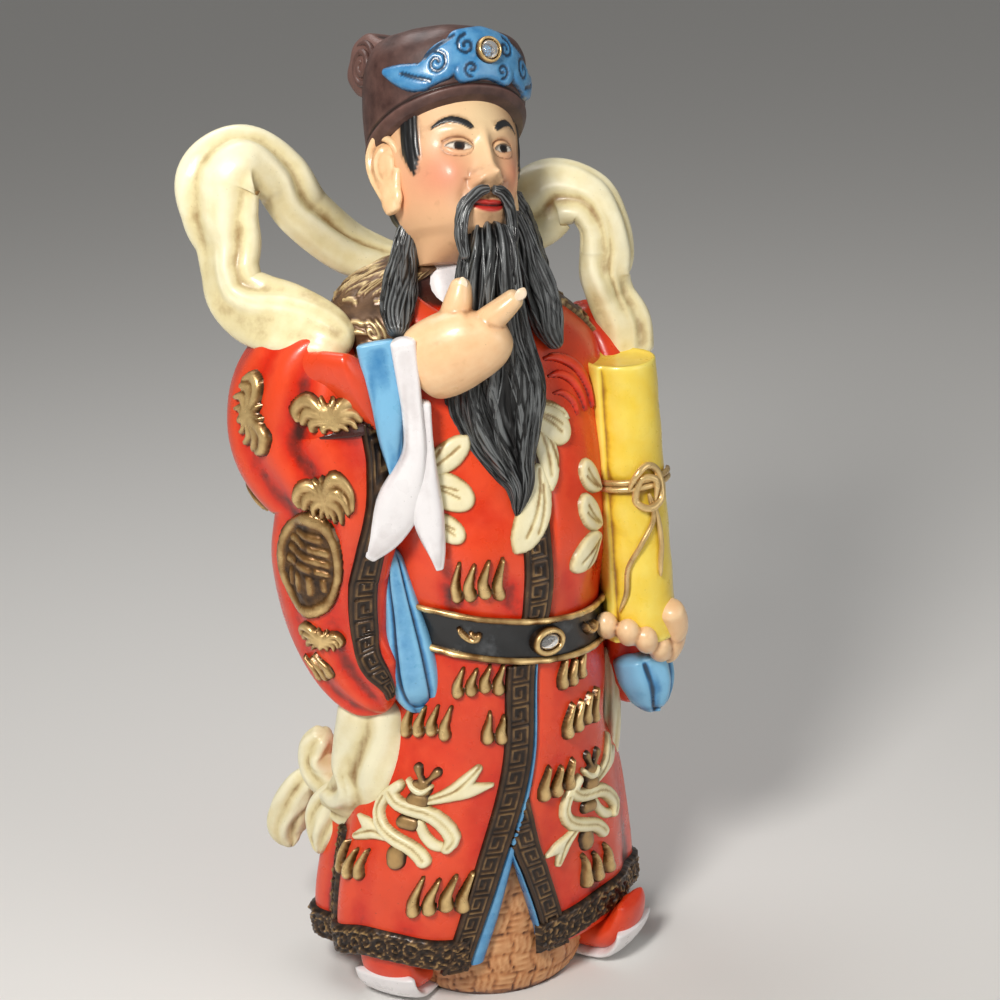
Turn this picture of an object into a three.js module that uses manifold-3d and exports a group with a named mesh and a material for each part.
// A cast and painted figure of a robed star god: one solid casting with two glued paste stones.
// Millimetres, +Z up. The figure looks along -Y, its left hand is at +X, and it stands on z = 0.
import * as THREE from "three";
import { ParametricGeometry } from "three/addons/geometries/ParametricGeometry.js";
import { mergeVertices } from "three/addons/utils/BufferGeometryUtils.js";
import Module from "manifold-3d";

const wasm = await Module();
wasm.setup();

// Driving dimensions
const HEM_Z = 17; // underside of the robe, where no shoe lifts it
const NECK_Z = 284; // where the robe ends inside the collar
const BELT_Z = 150; // middle of the belt
const PANEL = 8; // thickness of the robe's front panels at the split
const SPLIT_TOP = 62; // where the two front panels part
const BORDER = 11; // width of the key-pattern borders
const RAISED = 1.5; // how far borders and ornaments stand proud
const SINK = 3; // how deep they reach into what carries them
const HEAD = { x: -2.7, y: -0.4, z: 313, yaw: 0, pitch: 20, roll: 12 }; // its centre, and its turn in degrees
const CAP_TOP = 47; // top of the cap over the head's centre
const SHOE_WIDE = 26; // width of a shoe
const CORD = 1.5; // radius of the scroll's cord
const STONE_GAP = 0.3; // room between a stone and its seat

// Small helpers
const rad = THREE.MathUtils.degToRad;
const clamp = THREE.MathUtils.clamp;
const lerp = THREE.MathUtils.lerp;
const smooth = THREE.MathUtils.smoothstep;
const vec = (x, y, z) => new THREE.Vector3(x, y, z);

// A smooth curve through rows of numbers, the first of which is the place along it.
function table(rows) {
  const slope = (i, k) => {
    const a = rows[Math.max(i - 1, 0)];
    const b = rows[Math.min(i + 1, rows.length - 1)];
    return (b[k] - a[k]) / (b[0] - a[0]);
  };
  return (at, k) => {
    const place = clamp(at, rows[0][0], rows[rows.length - 1][0]);
    let i = 0;
    while (i < rows.length - 2 && place > rows[i + 1][0]) i++;
    const span = rows[i + 1][0] - rows[i][0];
    const s = (place - rows[i][0]) / span;
    return (
      (2 * s ** 3 - 3 * s ** 2 + 1) * rows[i][k] +
      (s ** 3 - 2 * s ** 2 + s) * span * slope(i, k) +
      (3 * s ** 2 - 2 * s ** 3) * rows[i + 1][k] +
      (s ** 3 - s ** 2) * span * slope(i + 1, k)
    );
  };
}

// A solid for joining and cutting, from any closed three.js geometry.
function solidOf(geometry) {
  const bare = geometry.clone();
  bare.deleteAttribute("normal");
  bare.deleteAttribute("uv");
  const merged = mergeVertices(bare, 1e-3);
  const index = merged.index.array;
  const kept = [];
  for (let i = 0; i < index.length; i += 3) {
    const [a, b, c] = [index[i], index[i + 1], index[i + 2]];
    if (a !== b && b !== c && c !== a) kept.push(a, b, c);
  }
  const mesh = { numProp: 3, vertProperties: merged.attributes.position.array };
  const made = new wasm.Manifold(new wasm.Mesh({ ...mesh, triVerts: new Uint32Array(kept) }));
  if (made.volume() > 0) return made;
  return new wasm.Manifold(new wasm.Mesh({ ...mesh, triVerts: new Uint32Array(kept.reverse()) }));
}

function geometryOf(solid) {
  const mesh = solid.getMesh();
  const geometry = new THREE.BufferGeometry();
  geometry.setAttribute("position", new THREE.BufferAttribute(new Float32Array(mesh.vertProperties), 3));
  geometry.setIndex([...mesh.triVerts]);
  geometry.computeVertexNormals();
  return geometry;
}

// A closed form: rings of points between two end points. place(turn, rise) gives the surface.
function closedForm(sides, rings, place) {
  const middle = (rise) => {
    const sum = vec(0, 0, 0);
    for (let i = 0; i < sides; i++) sum.add(place(i / sides, rise));
    return sum.divideScalar(sides);
  };
  const ends = [middle(0), middle(1)];
  const surface = (u, v, target) => {
    const ring = Math.round(v * rings);
    if (ring === 0 || ring === rings) target.copy(ends[ring ? 1 : 0]);
    else target.copy(place(Math.round(u * sides) % sides / sides, (ring - 1) / (rings - 2)));
  };
  return solidOf(new ParametricGeometry(surface, sides, rings));
}

// The frame along a bar. A station is [x, y, z, wide, thick], and facing is what its flat side faces.
function barFrame(stations, facing) {
  const curve = (rows, from) => {
    const points = rows.map((row) => vec(...row.slice(from, from + 3)));
    return new THREE.CatmullRomCurve3(points, false, "catmullrom", 0.5);
  };
  const spine = curve(stations, 0);
  const faces = curve(facing, 0);
  const size = table(stations.map((r, i) => [i / (stations.length - 1), r[3], r[4]]));
  return (t) => {
    const before = spine.getPoint(Math.max(t - 1e-3, 0));
    const along = spine.getPoint(Math.min(t + 1e-3, 1)).sub(before).normalize();
    const face = faces.getPoint(t);
    face.addScaledVector(along, -face.dot(along)).normalize();
    const side = vec(0, 0, 0).crossVectors(along, face);
    return { centre: spine.getPoint(t), along, face, side, wide: size(t, 1), thick: size(t, 2) };
  };
}

// A bar, lock, ribbon or limb. pleats is how deep its lengthwise folds are, and count how many there are.
// dome is how far along it each end takes to reach full size; a bar with no dome has flat ends.
function bar(stations, facing, { sides = 12, rings = 12, pleats = 0, count = 5, dome = 0.06 } = {}) {
  const frame = barFrame(stations, facing);
  return closedForm(sides, rings, (turn, rise) => {
    const ring = Math.round(rise * (rings - 2));
    const inner = dome + ((ring - 1) / (rings - 4)) * (1 - 2 * dome);
    const t = dome > 0 ? clamp(ring === 0 ? 0 : ring === rings - 2 ? 1 : inner, 0, 1) : rise;
    const end = dome > 0 && (t === 0 || t === 1) ? 0.55 : 1;
    const at = frame(t);
    const [c, s] = [Math.cos(turn * 2 * Math.PI), Math.sin(turn * 2 * Math.PI)];
    const fold = 1 + pleats * Math.cos(count * Math.PI * c);
    at.centre.addScaledVector(at.side, c * at.wide * end);
    return at.centre.addScaledVector(at.face, s * at.thick * end * fold);
  });
}

function ball(x, y, z, a, b, c, sides = 14, rings = 9) {
  const geometry = new THREE.SphereGeometry(1, sides, rings);
  return solidOf(geometry.scale(a, b, c).translate(x, y, z));
}

// The robe's cross-section at a height: half-width, depth in front and behind, and centre
const robeSize = table([
  [HEM_Z, 64, 44, 47, -8.5, 1],
  [35, 64, 44.5, 47, -8.5, 1],
  [60, 60, 46, 45, -7.5, 0],
  [100, 51, 46, 41, -3.5, 0],
  [140, 45, 45, 37, -1, 0],
  [152, 44.5, 45, 36, 0, 0],
  [175, 47.5, 47.5, 37, 0, 0],
  [200, 50, 44, 36, 0, 0],
  [225, 53, 38, 34, 0, 0],
  [243, 52, 33, 28, -1, 0],
  [255, 46, 29, 24, -4, 0],
  [265, 40, 23, 22, -11, 1],
  [274, 30, 17, 20, -12, 3],
  [NECK_Z, 13, 14, 14, 0, -1],
]);

// Where the front panels' edges run, in degrees round the robe. The left one overlaps the right.
const leftEdge = table([[HEM_Z, -25], [35, -18.5], [60, -13], [100, -4.5], [140, -2], [158, 5], [NECK_Z, 6]]);
const rightEdge = table([
  [HEM_Z, 3.5], [35, 0], [54, -6], [64, -10], [75, -12.5], [90, -14.5], [NECK_Z, -14.5],
]);
const PLACKET_TOP = 236; // where the border ends under the beard

// The hem lifts a little over each shoe
const hemZ = (degrees) =>
  HEM_Z + 6 * Math.exp(-(((degrees + 62) / 26) ** 2)) + 4 * Math.exp(-(((degrees - 38) / 24) ** 2));

// Long soft folds, deeper towards the hem and at the two side slits
const SLITS = [[83, 100], [-93, -112]]; // in degrees: a hollow, and the ridge behind it
function robeFold(angle, z) {
  const low = 1 - smooth(z, 20, 130);
  const near = (degrees) => Math.exp(-(((angle - rad(degrees)) / 0.16) ** 2));
  const slits = SLITS.reduce((sum, [hollow, ridge]) => sum + 4 * near(ridge) - 4 * near(hollow), 0);
  const waves = 0.8 * Math.cos(9 * angle + 0.7) + 0.5 * Math.cos(14 * angle + 2.1);
  const back = 2.6 * Math.cos(8 * angle) * Math.max(0, -Math.cos(angle));
  const blouse = 0.9 * Math.cos(13 * angle) * Math.exp(-(((z - 168) / 9) ** 2));
  const hip = 5 * Math.exp(-(((angle - 1.3) / 0.45) ** 2) - ((z - 98) / 13) ** 2);
  return low * (waves + back + slits) + blouse - hip;
}

// A point of the robe's skin. degrees runs from the front towards the figure's left.
function robePoint(degrees, z, proud = 0) {
  const angle = rad(degrees);
  const [s, c] = [Math.sin(angle), Math.cos(angle)];
  const out = robeFold(Math.atan2(s, c), z) + proud;
  const deep = robeSize(z, c > 0 ? 2 : 3);
  return vec(robeSize(z, 4) + (robeSize(z, 1) + out) * s, robeSize(z, 5) - (deep + out) * c, z);
}

// The skin there, with its outward direction
function robeSkin([degrees, z]) {
  const across = robePoint(degrees + 1, z).sub(robePoint(degrees - 1, z));
  const up = robePoint(degrees, z + 1).sub(robePoint(degrees, z - 1));
  return { point: robePoint(degrees, z), normal: vec(0, 0, 0).crossVectors(across, up).normalize() };
}

// The robe's rings from hem to neck: height, how far proud, and whether it is a rim of the hem or belt
const BELT_RINGS = [[-8.8, 0], [-8, 2.4], [-5.4, 0.9], [5.4, 0.9], [8, 2.4], [8.8, 0]];
// The belt's middle: it sags in front and hangs lower on the figure's left
const beltMid = (degrees) => BELT_Z - 4.5 * Math.cos(rad(degrees)) - 8 * Math.sin(rad(degrees));
const ROBE_RINGS = [
  { hem: 0, proud: RAISED }, { hem: BORDER, proud: RAISED }, { hem: BORDER + 0.5, proud: 0 },
  ...[40, SPLIT_TOP - 3, SPLIT_TOP, 90, 122].map((z) => ({ z, proud: 0 })),
  ...BELT_RINGS.map(([up, proud]) => ({ belt: up, proud })),
  ...[173, 186, 204, 221, 235, 246, 256, 266, 275, NECK_Z].map((z) => ({ z, proud: 0 })),
];

// One closed skin: round the outside from the right panel's edge to the left one's, then across the split
function robe() {
  const around = 18; // points between the two borders
  const across = 3; // points behind the split
  const sides = around + across + 5;
  return closedForm(sides, ROBE_RINGS.length + 1, (turn, rise) => {
    const ring = ROBE_RINGS[Math.round(rise * (ROBE_RINGS.length - 1))];
    const i = Math.round(turn * sides);
    const place = (z) => {
      const wide = BORDER / rad(robeSize(z, 1));
      const left = leftEdge(z, 1);
      const right = Math.max(rightEdge(z, 1), left) + 0.8;
      const rightIn = Math.max(rightEdge(z, 1) + wide, right + 0.4);
      const leftIn = 360 + left - wide;
      const onBorder = z < PLACKET_TOP ? RAISED : 0;
      if (i === 0) return [right, onBorder / 2];
      if (i === 1) return [rightIn, onBorder / 2];
      if (i <= around + 1) return [lerp(rightIn + 0.5, leftIn - 0.5, (i - 2) / (around - 1)), 0];
      if (i === around + 2) return [leftIn, onBorder];
      if (i === around + 3) return [360 + left, onBorder];
      const inward = z < SPLIT_TOP - 1 ? -PANEL : 0;
      return [360 + lerp(left + 0.3, right - 0.3, (i - around - 4) / across), inward];
    };
    const [guess] = place(ring.z ?? (ring.belt === undefined ? HEM_Z : BELT_Z));
    const degrees = guess > 180 ? guess - 360 : guess;
    const z = ring.z ?? (ring.belt === undefined ? hemZ(degrees) + ring.hem : beltMid(degrees) + ring.belt);
    const [at, border] = place(z);
    if (border < 0) return robePoint(at, z, border);
    return robePoint(at, z, ring.belt === undefined ? Math.max(ring.proud, border) : ring.proud);
  });
}

// The woven under-skirt that the figure stands on
const UNDER_TOP = 84;
const underSize = table([
  [0, 34, 36.5], [8, 38, 38.5], [20, 41, 38.5], [45, 41, 38.5], [70, 37, 38], [UNDER_TOP, 30, 34],
]);

function underSkirt() {
  return closedForm(16, 6, (turn, rise) => {
    const z = UNDER_TOP * rise ** 1.3;
    const angle = turn * 2 * Math.PI;
    return vec(-9 + underSize(z, 1) * Math.sin(angle), -2 - underSize(z, 2) * Math.cos(angle), z);
  });
}

// A raised strip along a path. skin(t) gives the carrying surface's point and outward direction.
function strip(skin, width, rings, rise = RAISED) {
  const wide = typeof width === "function" ? width : () => width;
  return closedForm(4, rings, (turn, t) => {
    const at = skin(t);
    const along = skin(Math.min(t + 0.01, 1)).point.sub(skin(Math.max(t - 0.01, 0)).point).normalize();
    const side = vec(0, 0, 0).crossVectors(along, at.normal).normalize();
    const i = Math.round(turn * 4);
    const across = ((i === 0 || i === 3 ? 1 : -1) * wide(t)) / 2;
    return at.point.addScaledVector(side, across).addScaledVector(at.normal, i < 2 ? rise : -SINK);
  });
}

// A raised ornament, from its outline, that follows the surface it lies on. skin([u, v]) is that surface,
// [u, v] the ornament's place on it, step how far u and v go for 1 mm, and lean turns the outline.
function plaque(points, skin, [u, v], step, { rise = RAISED, lean = 0 } = {}) {
  const [c, s] = [Math.cos(rad(lean)), Math.sin(rad(lean))];
  const shape = new THREE.Shape(points.map(([x, y]) => new THREE.Vector2(x * c - y * s, x * s + y * c)));
  const form = new THREE.ExtrudeGeometry(shape, { depth: rise + SINK, bevelEnabled: false });
  const place = form.attributes.position;
  for (let i = 0; i < place.count; i++) {
    const at = skin([u + place.getX(i) * step[0], v + place.getY(i) * step[1]]);
    at.point.addScaledVector(at.normal, place.getZ(i) - SINK);
    place.setXYZ(i, ...at.point.toArray());
  }
  return solidOf(form);
}

const UP = vec(0, 0, 1);
const ROBE_STEP = [1.2, 1]; // degrees round the robe and height for 1 mm

// Outlines: a bat with spread wings, and a round boss
const BAT_HALF = [[0, 0.3], [0.3, 0.15], [0.7, 0.42], [1, -0.05], [0.45, -0.15], [0, -0.45]];
const batShape = (size) => {
  const other = BAT_HALF.slice(1, -1).reverse().map(([x, y]) => [-x, y]);
  return [...BAT_HALF, ...other].map(([x, y]) => [x * size, y * size]);
};
const roundShape = (radius, sides = 11) =>
  Array.from({ length: sides }, (_, i) => {
    const angle = (i / sides) * 2 * Math.PI;
    return [radius * Math.cos(angle), radius * Math.sin(angle)];
  });

// Groups of drops that hang like fringes: [degrees, height, how many, length]
const FRINGE_ROOT = 0.15; // how far over its middle the gaps between the drops reach
const FRINGES = [
  [-29, 172, 4, 13], [-29, 133, 4, 12], [-51, 117, 4, 12], [21, 111, 3, 14],
  [-36, 50, 4, 14], [-78, 60, 3, 13], [30, 44, 3, 14],
];

function fringe([degrees, z, count, length]) {
  const step = 4.2; // from one drop to the next
  const half = (count * step) / 2;
  const low = Array.from({ length: 2 * count + 1 }, (_, i) => [
    -half + (i * step) / 2,
    i % 2 ? -length / 2 : length * FRINGE_ROOT,
  ]);
  const top = [[half * 0.7, length / 2], [-half * 0.7, length / 2]];
  return plaque([...low, ...top], robeSkin, [degrees, z], ROBE_STEP, { rise: RAISED * 1.2 });
}

// Fans of leaves on the chest: [degrees, height, first leaf's lean, lean between leaves, their lengths]
const FANS = [
  [-43, 207, -52, -40, [22, 20, 17]],
  [9, 212, 235, -32, [20, 22, 24]],
  [36, 192, 60, 45, [14, 15, 12]],
];
const LEAF_WIDE = 4; // half of a leaf's width
const WIDEST = 0.75; // where along its length it is widest

function fan([degrees, z, lean, apart, lengths]) {
  const points = lengths.flatMap((length, i) => {
    const angle = rad(lean + i * apart);
    const [c, s] = [Math.cos(angle), Math.sin(angle)];
    const turned = (x, y) => [x * c - y * s, x * s + y * c];
    const side = apart < 0 ? -LEAF_WIDE : LEAF_WIDE;
    return [turned(side, length * WIDEST), turned(0, length), turned(-side, length * WIDEST)];
  });
  return plaque([[0, 0], ...points], robeSkin, [degrees, z], ROBE_STEP, { rise: RAISED * 1.3 });
}

// A rod tied with a ribbon, one on each front panel: [degrees, height]
const EMBLEMS = [[-50.5, 83], [25, 75]];
const RIBBON_HALF = [[3, 18], [3, 9], [14, 14], [21, 8], [10, 3], [16, -8], [12, -14], [4, -8], [3, -19]];

function emblem(place) {
  const points = [...RIBBON_HALF, ...RIBBON_HALF.map(([x, y]) => [-x, y]).reverse()];
  return plaque(points, robeSkin, place, ROBE_STEP, { rise: RAISED * 1.3, lean: 8 });
}

// Sleeves: loose bags that hang from raised forearms. Stations run from the shoulder to the tip.
const RIGHT_SLEEVE = [
  [-46, 0, 262, 10, 10], [-58, 4, 250, 24, 18], [-64, 10, 225, 30.5, 20], [-61.5, 1, 200, 19.5, 16.5],
  [-62.5, 1, 175, 21, 15], [-61, -2, 150, 20, 13], [-56, -11, 131, 19, 10], [-51, -20, 118, 8, 5],
];
const RIGHT_OUT = [[-0.88, -0.47, 0], [-0.88, -0.47, 0]];
const LEFT_SLEEVE = [
  [44, 3, 250, 8, 7], [53, 0, 240, 14, 10], [56, -3, 222, 22, 13], [57, -7, 190, 26, 12],
  [57, -12, 155, 27, 11], [55, -12, 126, 20, 11], [53, -15, 106, 12, 9], [52, -18, 96, 6, 4],
];
const LEFT_OUT = [[0.97, -0.25, 0], [0.97, -0.25, 0]];
const FOREARM = [
  [-76, 24, 224, 9, 14], [-66, 9, 235, 12, 22], [-54, -10, 237, 11, 26], [-44, -23, 239, 8, 24],
];

// What shows in the right sleeve's mouth: blue lining above and below, and the white inner sleeve
const BLUE_CUFF = [
  [-47, -23.5, 262, 6.5, 4], [-46.5, -25.5, 251, 6, 4], [-46, -27.5, 239, 5.5, 4], [-46, -28.5, 225, 4, 3],
  [-46.5, -30, 212, 1.5, 2],
];
const WHITE_NEAR = [
  [-40.5, -32, 264, 4.3, 5], [-39.5, -33, 249, 4, 5], [-39.5, -34, 236, 3.8, 4.5],
  [-40.5, -34.5, 222, 4.5, 4], [-45.5, -32, 206, 8, 3.5], [-51, -29, 194, 6.5, 3], [-57, -25, 184, 1.5, 2],
];
const WHITE_FAR = [
  [-36, -33, 241, 3.5, 4], [-37, -34, 227, 4.5, 4], [-38, -35, 212, 5.5, 4], [-37.5, -36.5, 198, 5.5, 3.5],
  [-36.5, -38, 187, 3.5, 3], [-36, -38.5, 179, 1, 2],
];
const TONGUE = [
  [-45, -20, 184, 2.5, 4], [-44.5, -21, 171, 5, 5], [-43.5, -22, 158, 7, 6], [-43, -23.5, 145, 9, 6],
  [-42, -24, 133, 9.5, 6], [-40, -24, 124, 7, 5], [-39, -24, 120, 3, 3],
];
const TO_VIEW = [[-0.45, -0.89, 0], [-0.45, -0.89, 0]]; // what those forms' flat sides face

// The left sleeve's blue mouth below the hand
const LEFT_MOUTH = [
  [51, -27, 122, 10, 11], [53.5, -29, 110, 10.5, 11], [54, -30, 102, 8, 8], [54, -30, 97, 3, 4],
];

function barSkin(stations, facing, turn, t) {
  const frame = barFrame(stations, facing);
  const at = (a, b) => {
    const f = frame(b);
    const angle = a * 2 * Math.PI;
    f.centre.addScaledVector(f.side, f.wide * Math.cos(angle));
    return f.centre.addScaledVector(f.face, f.thick * Math.sin(angle));
  };
  const across = at(turn + 0.01, t).sub(at(turn - 0.01, t));
  const along = at(turn, t + 0.01).sub(at(turn, t - 0.01));
  return { point: at(turn, t), normal: vec(0, 0, 0).crossVectors(across, along).normalize() };
}

// Bats on the right sleeve: [turn, t, size, lean in degrees], and the round medallion
const BATS = [[0.22, 0.24, 8.5, 50], [0.375, 0.2, 12, -14], [0.345, 0.405, 11, 12], [0.275, 0.71, 8, 20]];
const MEDALLION = [0.285, 0.54, 15.5];
// The key border's way down the right sleeve's front: t and turn
const BAND = [
  [0.29, 0.5], [0.4, 0.53], [0.46, 0.49], [0.53, 0.45], [0.63, 0.415], [0.87, 0.385], [0.97, 0.42],
];
const SLEEVE_STEP = [-0.0068, -0.0062]; // turn and t for 1 mm forward and up

function sleeves() {
  const looks = { sides: 13, rings: 10, pleats: 0.06, count: 3, dome: 0.05 };
  const onSleeve = (turn, t) => barSkin(RIGHT_SLEEVE, RIGHT_OUT, turn, t);
  const placed = ([turn, t]) => onSleeve(turn, t);
  const [turn, t, radius] = MEDALLION;
  const bandTurn = table(BAND);
  const onBand = (s) => lerp(BAND[0][0], BAND.at(-1)[0], s);
  return [
    bar(RIGHT_SLEEVE, RIGHT_OUT, looks),
    bar(LEFT_SLEEVE, LEFT_OUT, { ...looks, sides: 9, rings: 8 }),
    bar(FOREARM, [[-0.4, -0.3, 0.85], [-0.4, -0.3, 0.85]], { sides: 8, rings: 6, dome: 0.08 }),
    bar(BLUE_CUFF, TO_VIEW, { sides: 6, rings: 6 }),
    bar(WHITE_NEAR, TO_VIEW, { sides: 6, rings: 9, dome: 0.03 }),
    bar(WHITE_FAR, TO_VIEW, { sides: 6, rings: 8, dome: 0.03 }),
    bar(TONGUE, TO_VIEW, { sides: 7, rings: 7 }),
    bar(LEFT_MOUTH, [[0.3, -0.95, 0], [0.3, -0.95, 0]], { sides: 8, rings: 5 }),
    strip((s) => onSleeve(bandTurn(onBand(s), 1), onBand(s)), BORDER, 9),
    plaque(roundShape(radius), placed, [turn, t], SLEEVE_STEP),
    ...BATS.map(([at, down, size, lean]) =>
      plaque(batShape(size), placed, [at, down], SLEEVE_STEP, { rise: RAISED * 1.2, lean })),
  ];
}

// The scarf: a broad ribbon that floats in a loop on each side and meets behind the neck
const SCARF_RIGHT = [
  [-9, 25, 272, 9, 6], [-20, 30, 276, 10.5, 6], [-31.5, 33, 283, 11, 6], [-45, 33.5, 297, 10.5, 6],
  [-53.5, 33, 311, 11, 6], [-66, 34, 321, 14, 6.5], [-76, 35.5, 314, 17, 7], [-77, 34, 301, 15.5, 7],
  [-75.5, 32, 291, 12.5, 7], [-77, 29, 282, 11, 7], [-76.5, 25.5, 274, 12, 6.5], [-72.5, 18, 269, 13, 6],
  [-66, 7.5, 266.5, 13, 6], [-58, -5, 262.5, 11, 6], [-52, -13, 257, 6, 4],
];
const SCARF_RIGHT_OUT = [
  [-0.1, -0.3, 0.95], [-0.2, -0.6, 0.75], [-0.4, -0.75, 0.5], [-0.2, -0.6, 0.75], [-0.7, -0.65, 0.3],
  [-0.7, -0.7, 0], [-0.6, -0.75, 0.2], [-0.4, -0.7, 0.5], [-0.4, -0.6, 0.7],
];
const SCARF_LEFT = [
  [6, 23, 274, 9, 6], [20, 18, 280, 11, 6], [34, 9.5, 288, 14.5, 6], [43, 5.5, 294.5, 13.5, 6],
  [52.5, -2, 292.5, 11, 6], [56.5, -6.5, 284, 9.5, 6.5], [57, -8, 273, 10.5, 6.5], [55, -8, 264, 10, 6.5],
  [57, -8, 255, 9.5, 6], [60.5, -12, 245, 10, 6], [61, -15, 232, 8.5, 5],
];
const SCARF_LEFT_OUT = [
  [0, -0.3, 0.95], [-0.3, -0.8, 0.5], [-0.3, -0.8, 0.5], [0, -0.8, 0.5], [0, -0.95, 0.2], [-0.3, -0.9, 0],
];

// The sash below: a swag with a turned-up loop and a tail on the right hip, a straight fall on the left
const SWAG = [
  [-52, -6.5, 125, 12.5, 8], [-53, -2.5, 107, 14, 9], [-53.3, 1.5, 91, 14, 9.5], [-54, 6, 78, 12, 9],
  [-58.5, 15, 69, 7, 7], [-61, 22, 65, 2.5, 3],
];
const SWAG_LOOP = [
  [-55, 22, 70, 6, 6], [-59, 29, 79, 8, 7], [-60, 31, 88, 7, 6.5], [-57, 27, 96, 4, 5],
];
const SWAG_TAIL = [
  [-53, 30, 79, 4, 5], [-61.5, 41, 70, 7, 5], [-68, 47, 59, 7.5, 5], [-70, 50, 49, 7.5, 4.5],
  [-68, 48, 42, 3, 3],
];
const FALL = [
  [46, -15, 122, 3, 4], [44.5, -17, 103, 3.5, 4], [43.5, -17.5, 87, 3.5, 4], [42, -17, 72, 2.5, 3.5],
  [40, -16, 64, 1, 2],
];

function scarves() {
  const loop = { sides: 8, rings: 19, pleats: 0.25, count: 3, dome: 0.02 };
  const sash = { sides: 7, rings: 7, pleats: 0.15, count: 3, dome: 0.08 };
  return [
    bar(SCARF_RIGHT, SCARF_RIGHT_OUT, loop),
    bar(SCARF_LEFT, SCARF_LEFT_OUT, { ...loop, rings: 14 }),
    bar(SWAG, TO_VIEW, sash),
    bar(SWAG_LOOP, TO_VIEW, { ...sash, sides: 6, pleats: 0 }),
    bar(SWAG_TAIL, TO_VIEW, { ...sash, sides: 6 }),
    bar(FALL, TO_VIEW, { ...sash, sides: 6, pleats: 0 }),
  ];
}

// The head, in a frame of its own: the face looks along -Y there and the centre lies between the ears
const headTurn = new THREE.Matrix4()
  .makeTranslation(HEAD.x, HEAD.y, HEAD.z)
  .multiply(new THREE.Matrix4().makeRotationZ(rad(HEAD.yaw)))
  .multiply(new THREE.Matrix4().makeRotationY(rad(HEAD.roll)))
  .multiply(new THREE.Matrix4().makeRotationX(rad(-HEAD.pitch)));
const inHead = (x, y, z) => vec(x, y, z).applyMatrix4(headTurn);
const headSize = table([
  [-36, 12, 6, 17], [-28, 14.5, 22, 15], [-24, 17.5, 26.5, 17], [-14, 21.5, 27, 21], [0, 23.5, 26.5, 25],
  [12, 23.5, 25, 27], [26, 20, 21, 24],
]);
const capSize = table([
  [0, 26, 27.5, 30], [0.12, 27.5, 29, 32], [0.5, 28.5, 30, 33], [0.75, 27.5, 28, 32], [0.92, 21.5, 21, 27],
  [1, 10, 9, 14],
]);

// The cap's brim is high over the brow and low at the nape
const capBrim = (angle) => 7 + 12 * Math.cos(angle);
function capPoint(angle, rise, proud = 0) {
  const z = lerp(capBrim(angle), CAP_TOP, rise);
  const deep = capSize(rise, Math.cos(angle) > 0 ? 2 : 3) + proud;
  return inHead((capSize(rise, 1) + proud) * Math.sin(angle), -deep * Math.cos(angle), z);
}

function capSkin(angle, rise) {
  const point = capPoint(angle, rise);
  return { point, normal: capPoint(angle, rise, 1).sub(point).normalize() };
}

const EAR = [[23, 0, 6, 4, 3], [24.7, 2, 1, 6, 3.5], [24.7, 0, -8, 5.5, 3], [23, -5, -17, 3.5, 2.5]];
const NOSE = [[0, -24, 9, 2, 3], [0, -27.5, 1, 2.6, 4], [0, -30, -5, 4, 4], [0, -26, -8, 4, 3]];
const CAP_ROLL = [[-26, 13, 36.5, 11.5, 12], [0, 17, 37, 11.5, 12], [26, 13, 36.5, 11.5, 12]];
// The cloud plate: degrees it reaches round the cap, and its two heights
const BROW = { reach: 75, low: 0.2, high: 0.72 };
const STONE_AT = 0.52; // the brow stone's place up the cap

function head() {
  const round = (sides, rings, size, from, to) =>
    closedForm(sides, rings, (turn, rise) => {
      const angle = turn * 2 * Math.PI;
      const z = lerp(from, to, rise);
      return inHead(size(z, 1) * Math.sin(angle), -size(z, Math.cos(angle) > 0 ? 2 : 3) * Math.cos(angle), z);
    });
  const rows = [0, 0.1, BROW.low, BROW.low + 0.02, BROW.high - 0.02, BROW.high, 0.88, 0.97, 1];
  const cap = closedForm(16, rows.length + 1, (turn, rise) => {
    const i = Math.round(rise * (rows.length - 1));
    const degrees = ((turn * 360 + 180) % 360) - 180;
    const narrow = Math.abs(degrees) < BROW.reach ? 0.08 * (1 - Math.cos(rad(degrees * 2.4))) : 0.08;
    const lift = i === 2 || i === 3 ? narrow : i === 4 || i === 5 ? -narrow : 0;
    const onPlate = (i === 3 || i === 4) && Math.abs(degrees) < BROW.reach;
    return capPoint(rad(degrees), rows[i] + lift, onPlate ? RAISED : 0);
  });
  const inTurn = (rows) => rows.map(([x, y, z, wide, thick]) => [...inHead(x, y, z).toArray(), wide, thick]);
  const forward = [inHead(0, -1, 0), inHead(0, 0, 0)];
  const ahead = forward[0].sub(forward[1]).toArray();
  const roll = bar(inTurn(CAP_ROLL), [ahead, ahead], { sides: 9, rings: 4, dome: 0 });
  const nose = bar(inTurn(NOSE), [ahead, ahead], { sides: 6, rings: 5, dome: 0.1 });
  const out = inHead(1, 0, 0).sub(inHead(0, 0, 0)).toArray();
  const ear = (side) => {
    const stations = inTurn(EAR.map(([x, ...rest]) => [side * x, ...rest]));
    return bar(stations, [out, out], { sides: 6, rings: 5, dome: 0.12 });
  };
  return [round(14, 8, headSize, -36, 26), cap, roll, nose, ear(-1), ear(1)];
}

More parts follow.
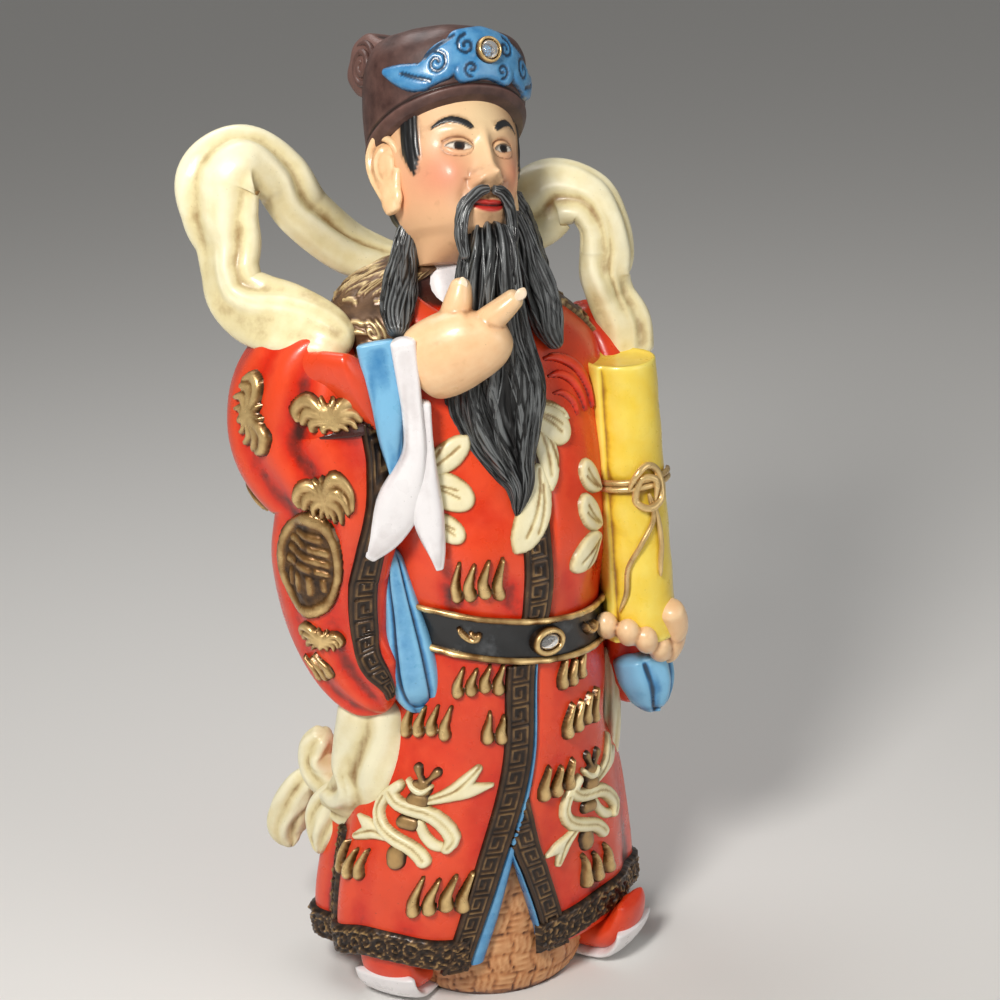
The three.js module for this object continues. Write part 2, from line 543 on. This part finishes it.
// Hair and beard. The beard runs through the raised hand and ends in a point on the chest.
const BEARD = [
  [-3, -28, 297, 5, 5.5], [-5, -32.5, 290, 7.5, 7.5], [-7, -34.5, 281, 8, 8], [-8, -34.5, 270, 9, 8],
  [-8, -35, 257, 12, 7], [-11, -35, 243, 16, 6.5], [-12, -35.5, 235, 17.5, 6], [-9, -38.5, 224, 12, 6],
  [-5.5, -42, 213, 8, 5.5], [-5, -44, 205, 5, 4.5], [-7, -44.5, 194, 1, 2],
];
const BEARD_SIDE = [
  [9.5, -22.5, 298, 3, 4], [12, -25, 288, 4, 4.5], [14, -27, 277, 6, 5], [16.5, -28.5, 266, 7, 5.5],
  [18, -30, 257, 6, 5], [20.5, -31.5, 248, 2, 2.5],
];
const MOUSTACHE = [
  [-1, -28.5, -9, 1.3, 1.6], [-5, -28.5, -10.5, 1.7, 2], [-9, -26.5, -15, 1.7, 2],
  [-11.5, -24.5, -22, 1.8, 2], [-12.5, -23, -30, 1.8, 2], [-13, -20, -39, 1.3, 1.6],
];
const HAIR_RIGHT = [
  [-20, -4, 300, 2.5, 3.5], [-22.5, -4.5, 292, 4, 4], [-26.3, -7.5, 283, 5, 5], [-31.4, -13.2, 275.7, 6, 5.5],
  [-35.6, -19, 269, 5.5, 5], [-39.3, -25, 262.5, 3, 3],
];

const HAIR_LEFT = [
  [20, -4, 300, 2.5, 3.5], [22.5, -4.5, 292, 4, 4], [24.5, -5, 282, 5, 5], [26, -7, 272, 5, 5],
  [26, -10, 262, 3, 3],
];

function hair() {
  const lock = { sides: 7, rings: 7, dome: 0.04 };
  const mirror = (rows) => rows.map(([x, ...rest]) => [-x, ...rest]);
  const inFrame = (rows) => rows.map(([x, y, z, w, t]) => [...inHead(x, y, z).toArray(), w, t]);
  return [
    bar(BEARD, TO_VIEW, { sides: 8, rings: 11, pleats: 0.2, count: 4, dome: 0.03 }),
    bar(BEARD_SIDE, [[0.1, -1, 0], [0.1, -1, 0]], lock),
    bar(inFrame(MOUSTACHE), TO_VIEW, { ...lock, sides: 4, rings: 6 }),
    bar(inFrame(mirror(MOUSTACHE)), [[0.4, -0.9, 0], [0.4, -0.9, 0]], { ...lock, sides: 4, rings: 6 }),
    bar(HAIR_RIGHT, TO_VIEW, lock),
    bar(HAIR_LEFT, [[0.5, -0.85, 0], [0.5, -0.85, 0]], { ...lock, rings: 5 }),
  ];
}

// The neck in its two collars, one inside the other: height in front, radius and shift of each ring
const COLLARS = [[252, 25, -1], [267, 20, -1], [268, 18, -1], [280, 15, -1], [288, 12, 0]];
const COLLAR_SIDES = 9;
const COLLAR_DIP = 5; // half of how much lower the collars are in front than behind

function collars() {
  return closedForm(COLLAR_SIDES, COLLARS.length + 1, (turn, rise) => {
    const [z, radius, shift] = COLLARS[Math.round(rise * (COLLARS.length - 1))];
    const angle = turn * 2 * Math.PI;
    const up = COLLAR_DIP * (1 - Math.cos(angle));
    return vec(radius * Math.sin(angle), shift - radius * Math.cos(angle), z + up);
  });
}

// Hands. The right one strokes the beard, with the thumb up; the left one carries the scroll from below.
const PALM = [
  [-34, -26, 250, 12, 8], [-29, -32, 253.5, 14.5, 11], [-22, -38, 258, 14.5, 11], [-15, -43.5, 262, 12, 9],
  [-10, -47, 268, 6, 6],
];
const INDEX = [[-15, -43.5, 266, 5.5, 5.5], [-10, -48, 271.5, 4.5, 5], [-4, -51, 277, 3.2, 4]];
const THUMB = [[-23, -35, 264, 6, 6], [-20.5, -36.5, 274, 5, 5.5], [-18, -36, 282, 3.2, 4]];
const LEFT_PALM = [[59, -22, 133, 8, 9], [58.5, -32, 128, 9, 10], [52, -37, 124, 9, 8]];
const LEFT_THUMB = [[60, -36, 129, 6.5, 7], [58, -41, 138, 5.5, 6.5], [54.5, -43.5, 145, 5, 6]];
const LEFT_TIPS = [[31.5, -38, 140], [37, -44, 137.5], [44, -45.5, 133], [51, -43, 127]];
const FINGER = 4.8; // half-thickness of a left finger

function hands() {
  const finger = { sides: 6, rings: 6, dome: 0.12 };
  const tip = { sides: 5, rings: 5, dome: 0.2 };
  const curl = ([x, y, z]) => {
    const bend = [[x + 9, y + 13, z - 10], [x + 3, y + 4, z - 7], [x, y, z]];
    return bar(bend.map((at) => [...at, FINGER, FINGER]), [[0, -1, 0.3], [0, -1, 0.3]], tip);
  };
  return [
    bar(PALM, TO_VIEW, { sides: 8, rings: 6, dome: 0.12 }),
    bar(INDEX, TO_VIEW, finger),
    bar(THUMB, TO_VIEW, finger),
    bar(LEFT_PALM, [[0.4, -0.8, 0.4], [0.4, -0.8, 0.4]], { sides: 7, rings: 5, dome: 0.15 }),
    bar(LEFT_THUMB, [[0.3, -0.95, 0], [0.3, -0.95, 0]], finger),
    ...LEFT_TIPS.map(curl),
  ];
}

// The scroll: a rolled sheet whose outer edge shows as a step, tied with a knotted cord
const SCROLL = { top: [49.5, -26.5, 238], low: [50, -31.5, 131], radius: 12, roll: 1.3, edge: -0.19 };
const KNOT = { z: 193, degrees: 20 }; // degrees run from the front towards the figure's left

function scrollAt(z) {
  const t = (SCROLL.top[2] - z) / (SCROLL.top[2] - SCROLL.low[2]);
  return vec(lerp(SCROLL.top[0], SCROLL.low[0], t), lerp(SCROLL.top[1], SCROLL.low[1], t), z);
}

function scroll() {
  const sheet = closedForm(14, 4, (turn, rise) => {
    const at = scrollAt(lerp(SCROLL.low[2], SCROLL.top[2], rise));
    const radius = SCROLL.radius + SCROLL.roll * turn + 1.2 * (1 - rise);
    const angle = (turn + SCROLL.edge) * 2 * Math.PI;
    return at.add(vec(radius * Math.sin(angle), -radius * Math.cos(angle), 0));
  });
  const out = SCROLL.radius + SCROLL.roll + 0.8;
  const onScroll = (degrees, z) => {
    const at = scrollAt(z);
    return [at.x + out * Math.sin(rad(degrees)), at.y - out * Math.cos(rad(degrees)), z];
  };
  const cord = (places) => places.map(([degrees, z]) => [...onScroll(degrees, z), CORD, CORD]);
  const around = Array.from({ length: 6 }, (_, i) => [-100 + i * 32, KNOT.z + 2 - 4 * Math.abs(i / 5 - 0.5)]);
  const [x, y, z] = onScroll(KNOT.degrees, KNOT.z);
  const facing = [[0.01, 0, 1], [0.01, 0, 1]];
  const thin = { sides: 3, rings: 6, dome: 0.02 };
  return [
    sheet,
    bar(cord(around), facing, { ...thin, rings: 5 }),
    ball(x, y, z, 5, 4.5, 4.5, 7, 4),
    bar(cord([[18, 190], [22, 180], [-5, 168], [-12, 156], [-22, 146]]), TO_VIEW, thin),
    bar(cord([[22, 190], [34, 176], [34, 166], [32, 158]]), TO_VIEW, thin),
  ];
}

// Shoes with thick soles and upturned toes: the toe's place on the ground, and where it points
const SHOES = [{ toe: [-54, -14], points: -146.5 }, { toe: [32.5, -31.5], points: -59.8 }];
const SHOE_SIDE = [[-26, 0], [-2, 0], [4, 3], [8, 10], [9.5, 23], [6, 26], [1, 20], [-8, 17], [-26, 22]];

function shoe({ toe, points }) {
  const shape = new THREE.Shape(SHOE_SIDE.map(([x, y]) => new THREE.Vector2(x, y)));
  const flat = new THREE.ExtrudeGeometry(shape, { depth: SHOE_WIDE, bevelEnabled: false });
  flat.translate(0, 0, -SHOE_WIDE / 2).rotateX(Math.PI / 2).rotateZ(rad(points));
  return solidOf(flat.translate(toe[0], toe[1], 0));
}

// Upright on a surface, facing out of it
function standing({ point, normal }) {
  const x = vec(0, 0, 0).crossVectors(UP, normal).normalize();
  const y = vec(0, 0, 0).crossVectors(normal, x);
  return new THREE.Matrix4().makeBasis(x, y, normal).setPosition(point);
}

// The two paste stones, and the same forms a little larger for their seats
const RIM = 2; // how much wider the rim is than the stone
function stone(at, wide, high, deep, gap = 0) {
  const form = new THREE.SphereGeometry(1, 10, 6).rotateX(Math.PI / 2);
  form.scale(wide + gap, high + gap, deep + gap);
  return form.applyMatrix4(standing(at));
}

// The metal-coloured rim round a stone
function bezel(at, wide, high, rise) {
  const rim = new THREE.CylinderGeometry(1, 1, rise + SINK, 10).rotateX(Math.PI / 2);
  rim.scale(wide + RIM, high + RIM, 1).translate(0, 0, (rise - SINK) / 2);
  return solidOf(rim.applyMatrix4(standing(at)));
}

const brow = capSkin(0, STONE_AT);
const buckle = robeSkin([2.5, beltMid(2.5)]);
const stones = [
  ["brow_stone", { ...brow, point: brow.point.clone().addScaledVector(brow.normal, 2.5) }, 3.4, 3.4, 2.4],
  ["belt_stone", { ...buckle, point: buckle.point.clone().addScaledVector(buckle.normal, 3) }, 4.2, 3, 2],
];

const forms = [
  robe(), underSkirt(), ...FRINGES.map(fringe), ...FANS.map(fan), ...EMBLEMS.map(emblem),
  ...sleeves(), ...scarves(), ...head(), ...hair(), collars(), ...hands(), ...scroll(), ...SHOES.map(shoe),
  bezel(brow, 3.4, 3.4, 3), bezel(buckle, 4.2, 3, 3.4),
];
const joined = forms.reduce((a, b) => a.add(b));
const figure = stones.reduce((a, [, ...size]) => a.subtract(solidOf(stone(...size, STONE_GAP))), joined);

const group = new THREE.Group();
const add = (name, geometry, look) => {
  const mesh = new THREE.Mesh(geometry, new THREE.MeshStandardMaterial(look));
  mesh.name = name;
  group.add(mesh);
};
add("figure", geometryOf(figure), { color: 0xc62a14, roughness: 0.35, metalness: 0 });
const clear = { color: 0xf2f4f6, roughness: 0.05, metalness: 0, transparent: true, opacity: 0.5 };
for (const [name, ...size] of stones) add(name, stone(...size), clear);

export default group;
